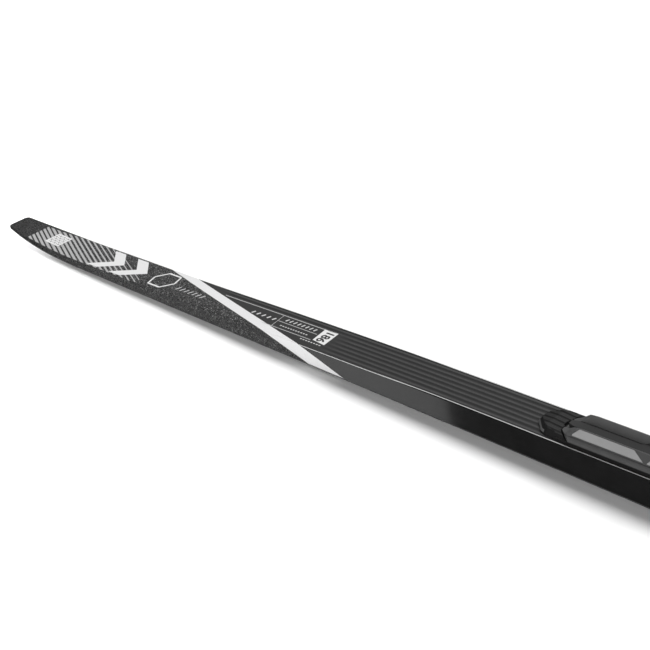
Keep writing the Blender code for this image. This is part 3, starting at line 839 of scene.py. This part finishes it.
def edge_lines(mat):
    """Pale line along both edges of the top, from just behind the band to the tail guard.

    It starts on the rounded edge and moves in onto the top further back."""
    gap, start, shift, width = 0.003, 0.00045, 0.00125, 0.00070
    shift_from, shift_to = 0.67, 0.79
    for side, front, name in (
        (-1, BAND_REAR_NEAR, "edge_line_near"), (1, BAND_REAR_FAR, "edge_line_far"),
    ):
        inner, outer = [], []
        for x in stations(front + gap, SHELL_END - gap, 0.010):
            s = half_width(x) - EDGE_RADIUS + start - shift * smooth_step(x, shift_from, shift_to)
            inner.append((x, side * s))
            outer.append((x, side * (s + width)))
        on_cap(name, [inner + outer[::-1]], mat, LINE_LIFT, LINE_THICKNESS)


# ------------------------------------------------------------ binding pieces

# The binding's own frame: u runs back from the nose, y across and h up, in millimetres
MOUNT_FROM_TIP = 0.884
MOUNT_FRAME = (
    Matrix.Translation((MOUNT_FROM_TIP - MIDDLE, 0.0, top_z(MOUNT_FROM_TIP)))
    @ Matrix.Rotation(-math.atan(MOUNT_SLOPE), 4, "Y")
)

# The nose: (u, half width) of its outline, (u, height) of its top, its slope's rise for
# each unit in from the outline, and how far in its outer rows of points lie
NOSE_ANGLE = 28.0
NOSE_LENGTH, NOSE_FOOT, NOSE_LIP = 40.0, 0.3, 1.4
NOSE_OUTLINE = ((0.0, 5.5), (10.5, 15.5), (17.0, 18.2), (NOSE_LENGTH, 18.9))
NOSE_TOP = ((0.0, 6.5), (14.0, 7.1), (27.5, 5.8), (NOSE_LENGTH, 5.6))
NOSE_RISE = 1.35
NOSE_RIM = (0.0, 0.5, 1.0, 1.62, 2.07, 2.7, 3.4, 4.1, 4.8, 5.45)
NOSE_RIB_PITCH, NOSE_RIB_DEPTH = 6.0, 0.7
# The painted highlight on the front of the lip: its width in from the outline, where it ends, and
# what lies below it
LIP_WIDTH, LIP_END, LIP_BOTTOM = 1.5, 15.0, 1.2
# Its cuts: front, rear and half width of the notch and of the plate's passage
NOTCH, NOTCH_FLOOR = (25.8, 30.0, 3.8), 2.8
PLATE_PASSAGE, PLATE_ROOF = (27.0, 45.0, 20.0), 2.8
CUT_BELOW, NOTCH_ABOVE, HOUSING_ABOVE = -1.0, 12.0, 20.0
# The front of the housing's passage, from beside its middle out to one side
HOUSING_FRONT = (
    (27.7, 8.5), (28.5, 10.8), (30.6, 13.2), (36.6, 17.5), (40.1, 19.9), (46.0, 23.7),
)

# The grooves under the inlays: (y, h) of their section, and their two ends
INLAY_GROOVE = ((16.15, 7.0), (16.75, 6.6), (17.5, 9.6), (16.5, 9.6))
GROOVE_START, GROOVE_END = 41.0, 140.0
# The housing's slopes beside the lever, which get a lighter copy of its plastic as a painted
# highlight: how far they face inwards and upwards, and between which distances from the middle line
# they lie, in metres
SLOPE_INWARD, SLOPE_UPWARD = 0.3, 0.2
SLOPE_INNER, SLOPE_OUTER = 0.0050, 0.0106


def in_mount(rings):
    """Points of the binding's frame, in the ski's frame."""
    return [[MOUNT_FRAME @ (Vector(p) * MM) for p in ring] for ring in rings]


def nose_gap(u, y):
    """Distance of a point in from the nose's outline."""
    gap = u
    for (u0, y0), (u1, y1) in zip(NOSE_OUTLINE, NOSE_OUTLINE[1:]):
        length = math.hypot(u1 - u0, y1 - y0)
        gap = min(gap, ((u - u0) * (y1 - y0) - (abs(y) - y0) * (u1 - u0)) / length)
    return max(gap, 0.0)


def nose_ring(u):
    """Section of the nose: a lip, a slope up from it and a ribbed top."""
    half = float(np.interp(u, *zip(*NOSE_OUTLINE)))
    plateau = float(np.interp(u, *zip(*NOSE_TOP)))
    rim = [half - inward for inward in NOSE_RIM]
    across = rim + list(np.linspace(rim[-1], 0.0, 42))[1:]
    ring = [(u, -half, NOSE_FOOT)]
    for y in [-y for y in across] + across[-2::-1]:
        height = min(NOSE_LIP + nose_gap(u, y) * NOSE_RISE, plateau)
        if height > plateau - 0.01:
            wave = 0.5 * (1 - math.cos(2 * math.pi * y / NOSE_RIB_PITCH))
            height -= NOSE_RIB_DEPTH * smooth_step(wave, 0.3, 1.0)
        ring.append((u, y, height))
    ring.append((u, half, NOSE_FOOT))
    return ring


def nose_piece(black, lip):
    """Nose with lengthwise ribs and a bevelled lip, running back round the housing."""
    us = list(np.linspace(0.0, 6.0, 25)) + list(np.linspace(6.4, NOSE_LENGTH, 76))
    nose = loft("nose_piece", in_mount([nose_ring(u) for u in us]), NOSE_ANGLE)

    def block(u0, u1, half):
        return [(u0, -half), (u1, -half), (u1, half), (u0, half)]

    def cut(name, plan, low, high):
        rings = in_mount([[(u, y, h) for u, y in plan] for h in (low, high)])
        apply_boolean(nose, loft(name, rings, 0))

    end, half = HOUSING_FRONT[-1]
    housing_front = [(end, half + 0.3)] + [(u, y) for u, y in HOUSING_FRONT[-2::-1]]
    housing_front += [(u, -y) for u, y in HOUSING_FRONT]
    cut("notch", block(*NOTCH), NOTCH_FLOOR, NOTCH_ABOVE)
    cut("plate_passage", block(*PLATE_PASSAGE), CUT_BELOW, PLATE_ROOF)
    cut("housing_passage", housing_front, CUT_BELOW, HOUSING_ABOVE)
    finish_piece(nose, "ski", "black_plastic", [black, lip], "nose_cap")
    inverse = MOUNT_FRAME.inverted()
    # Faces of the lip near the outline at the front get the paler material, a painted highlight
    for polygon in nose.data.polygons:
        u, y, h = inverse @ polygon.center / MM
        if nose_gap(u, y) < LIP_WIDTH and u < LIP_END and h > LIP_BOTTOM:
            polygon.material_index = 1
    shade(nose.data, NOSE_ANGLE)
    return nose


def housing_piece(outside, inside):
    """Housing with a groove under each inlay, and a lighter copy of its plastic on the slopes beside
    the lever as a painted highlight.
    """
    body = softened("housing", 0.0005)
    for side in (-1, 1):
        section = [(side * y, h) for y, h in INLAY_GROOVE]
        rings = in_mount([[(u, y, h) for y, h in section] for u in (GROOVE_START, GROOVE_END)])
        apply_boolean(body, loft("groove", rings, 0))
    finish_piece(body, "ski", "housing_plastic", [outside, inside], "housing")
    # Faces beside the lever that look inwards and upwards get the lighter copy, a painted highlight
    for polygon in body.data.polygons:
        inward = -polygon.normal.y * (1 if polygon.center.y > 0 else -1)
        facing = inward > SLOPE_INWARD and polygon.normal.z > SLOPE_UPWARD
        if facing and SLOPE_INNER < abs(polygon.center.y) < SLOPE_OUTER:
            polygon.material_index = 1
    flatten_faces(body)
    return body


def paint(node, mat):
    """Material of a CAD node that is shown as it is."""
    NODES[node].data.materials.clear()
    NODES[node].data.materials.append(mat)


def binding(mats):
    black, housing, inside, lever, grey, rubber, steel, lip = mats
    nose_piece(black, lip)
    housing_piece(housing, inside)
    for node, body, slot, mat, width in (
        ("base_plate", "ski", "black_plastic", black, 0.0004),
        ("lever", "lever_body", "lever_plastic", lever, 0.0008),
        ("flexor", "ski", "rubber", rubber, 0.0006),
        ("latch_slider", "latch_body", "steel", steel, 0.0003),
        ("bar_seat", "ski", "steel", steel, 0.0003),
        ("heel_plate", "ski", "black_plastic", black, 0.0004),
        ("heel_pad", "ski", "rubber", rubber, 0.0005),
    ):
        finish_piece(softened(node, width), body, slot, [mat], node)
    for node in ("front_inlay_left", "front_inlay_right", "rear_inlay_left", "rear_inlay_right"):
        finish_piece(softened(node, 0.0003), "ski", "grey_plastic", [grey], node)
    for node in (
        "screw_front", "screw_left", "screw_right", "screw_rear",
        "heel_screw_front", "heel_screw_rear",
    ):
        finish_piece(softened(node, 0.0), "ski", "steel", [steel], node)
    paint("lever_pin", steel)


# ------------------------------------------------------------ studio

CAMERA_PLACE, CAMERA_LENS = (0.591, -0.686, 0.658), 73.33
CAMERA_AZIMUTH, CAMERA_ELEVATION, CAMERA_ROLL = 52.97, 28.51, -11.15
# Each light: direction it comes from, strength, and softness in degrees
KEY_LIGHT = ((0.25, 1.02, 1.62), 3.40, 34.0)
FILL_LIGHT = ((0.30, -1.0, 0.21), 2.85, 40.0)
# The spot over the tip: place from the tip, power, width in degrees and size
WASH_PLACE, WASH_POWER, WASH_WIDTH, WASH_SIZE = (-0.03, -0.05, 1.0), 40.0, 20.0, 0.05
FLOOR_HALF, FLOOR_DROP = 8.0, 0.0002
# Brightness all round, of the backdrop behind the ski, and of the card that is reflected
AMBIENT, BACKDROP, CARD_BRIGHT = 0.04, 0.34, 0.54
# The card's two ends, as ratios of a direction's x to its y, and how soft they are
CARD_END, CARD_END_SOFT, CARD_START, CARD_START_SOFT = 1.095, 0.01, 1.90, 0.30
# Where each one fades in or out, as parts of a direction's z, and of its y behind the ski
CARD_TOP, BACKDROP_FOOT, BACKDROP_TOP = (-0.05, 0.0), (0.05, 0.15), (0.70, 0.85)
CARD_BACK, BACKDROP_FRONT = (0.0, 0.05), (0.0, 0.2)


def camera():
    """Camera above the ski's -Y side and behind its middle, slightly rolled."""
    azimuth, elevation, roll = (
        math.radians(v) for v in (CAMERA_AZIMUTH, CAMERA_ELEVATION, CAMERA_ROLL)
    )
    back = Vector((
        math.sin(azimuth) * math.cos(elevation),
        -math.cos(azimuth) * math.cos(elevation),
        math.sin(elevation),
    ))
    right = Vector((0.0, 0.0, 1.0)).cross(back).normalized()
    up = back.cross(right)
    right, up = (
        right * math.cos(roll) + up * math.sin(roll),
        up * math.cos(roll) - right * math.sin(roll),
    )
    data = bpy.data.cameras.new("camera")
    data.sensor_width = 36.0
    data.lens = CAMERA_LENS
    data.clip_start, data.clip_end = 0.01, 50.0
    obj = bpy.data.objects.new("camera", data)
    turn = Matrix((right, up, back)).transposed().to_4x4()
    obj.matrix_world = Matrix.Translation(CAMERA_PLACE) @ turn
    bpy.context.scene.collection.objects.link(obj)
    bpy.context.scene.camera = obj


def sun(name, direction, strength, softness):
    data = bpy.data.lights.new(name, "SUN")
    data.energy = strength
    data.angle = math.radians(softness)
    obj = bpy.data.objects.new(name, data)
    obj.rotation_mode = "QUATERNION"
    obj.rotation_quaternion = Vector(direction).to_track_quat("Z", "Y")
    bpy.context.scene.collection.objects.link(obj)


def tip_wash(floor):
    """Soft spot on the floor alone, which washes the raised tip's shadow out."""
    data = bpy.data.lights.new("tip_wash", "SPOT")
    data.energy = WASH_POWER
    data.spot_size = math.radians(WASH_WIDTH)
    data.spot_blend = 1.0
    data.shadow_soft_size = WASH_SIZE
    obj = bpy.data.objects.new("tip_wash", data)
    obj.location = Vector(WASH_PLACE) - Vector((MIDDLE, 0.0, 0.0))
    bpy.context.scene.collection.objects.link(obj)
    lit = bpy.data.collections.new("wash_floor")
    lit.objects.link(floor)
    obj.light_linking.receiver_collection = lit
    obj.light_linking.blocker_collection = lit


def paper_floor():
    """White floor under the ski, left out of reflections."""
    corners = ((-1, -1), (1, -1), (1, 1), (-1, 1))
    mesh = bpy.data.meshes.new("floor")
    mesh.from_pydata([(FLOOR_HALF * x, FLOOR_HALF * y, 0) for x, y in corners], [], [(0, 1, 2, 3)])
    n = Nodes("floor_paper")
    tone = n.ramp(n.noise(6.0), ((0.3, 0.985), (0.7, 1.0)))
    mesh.materials.append(n.done(tone, Roughness=0.9, Specular_IOR_Level=0.0))
    floor = add_object("floor", mesh)
    floor.location.z = -FLOOR_DROP
    floor.visible_glossy = False
    return floor


def surroundings():
    """Plain studio all round: dim, with a backdrop behind and a card low in front."""
    world = bpy.data.worlds.new("studio")
    bpy.context.scene.world = world
    world.use_nodes = True
    t = Tree(world.node_tree)
    split = t.new("ShaderNodeSeparateXYZ")
    t.feed(t.new("ShaderNodeTexCoord").outputs["Generated"], split.inputs[0])
    x, y, z = split.outputs

    def rise(value, first, last, full=1.0):
        return t.span_from(value, first, last, 0.0, full, "SMOOTHSTEP")

    def fall(value, first, last, full=1.0):
        return t.span_from(value, first, last, full, 0.0, "SMOOTHSTEP")

    ratio = t.maths("DIVIDE", x, y)
    card = t.maths(
        "MULTIPLY", rise(ratio, CARD_END - CARD_END_SOFT, CARD_END + CARD_END_SOFT),
        fall(ratio, CARD_START, CARD_START + CARD_START_SOFT))
    front_card = t.maths("MULTIPLY", card, fall(y, *CARD_BACK))
    low_card = t.maths("MULTIPLY", front_card, fall(z, *CARD_TOP, CARD_BRIGHT))
    wall = t.maths("MULTIPLY", rise(z, *BACKDROP_FOOT), fall(z, *BACKDROP_TOP))
    backdrop = t.maths("MULTIPLY", wall, rise(y, *BACKDROP_FRONT, BACKDROP))
    total = t.maths("ADD", t.maths("ADD", low_card, backdrop), AMBIENT)
    background = world.node_tree.nodes["Background"]
    background.inputs["Color"].default_value = (1.0, 1.0, 1.0, 1.0)
    t.feed(total, background.inputs["Strength"])


def studio():
    """White floor, a broad key light from behind, a fill in front and plain surroundings."""
    floor = paper_floor()
    sun("key", *KEY_LIGHT)
    sun("fill", *FILL_LIGHT)
    tip_wash(floor)
    surroundings()
    bpy.context.scene.view_settings.view_transform = "Standard"


def main():
    camera()
    speckled = speckled_cap("speckled_cap", 0.85, 0.42)
    # A darker copy of the speckled cap for its side faces: painted shade
    shaded_speckled_side = speckled_cap("shaded_speckled_side", 0.72, 0.72)
    ribbed, side = ribbed_black(), gloss_side()
    white = printed_ink("white_ink", 0.68, 0.73, 0.38)
    silver = printed_ink("silver_ink", 0.34, 0.44, 0.42)
    dark = printed_ink("dark_ink", 0.018, 0.026, 0.4)
    label_grey = printed_ink("label_grey", 0.20, 0.26, 0.4)
    line = printed_ink("pale_line", 0.50, 0.60, 0.35)
    black = moulded("black_plastic", 0.006, 0.010, 0.52, specular=0.30)
    housing = moulded("housing_plastic", 0.056, 0.068, 0.45)
    # A lighter copy of the housing plastic for its inner slopes: painted highlight
    inside = moulded("housing_painted_highlight", 0.080, 0.096, 0.50)
    lever = moulded("lever_plastic", 0.016, 0.021, 0.45, specular=0.35)
    grey = moulded("grey_plastic", 0.26, 0.29, 0.50, depth=0.00002)
    # Paler plastic for the front of the nose's lip: painted highlight
    lip = moulded("lip_painted_highlight", 0.085, 0.105, 0.45)

    cap_skin([speckled, ribbed, side, shaded_speckled_side])
    running_base(ground_base())
    tail_guard(black)
    white_band(white)
    silver_stripes(silver)
    tip_patch(white, label_grey)
    bold_marks(white)
    fine_lines(line)
    size_label(white, dark)
    edge_lines(line)
    binding((black, housing, inside, lever, grey, soft_rubber(), brushed_steel(), lip))

    inner = {"base_laminate": laminate_fibres(), "core": foam_core()}
    inner["top_laminate"] = inner["binding_reinforcement"] = inner["base_laminate"]
    inner["tip_spacer"] = inner["tail_spacer"] = black
    for node, mat in inner.items():
        paint(node, mat)

    studio()


main()
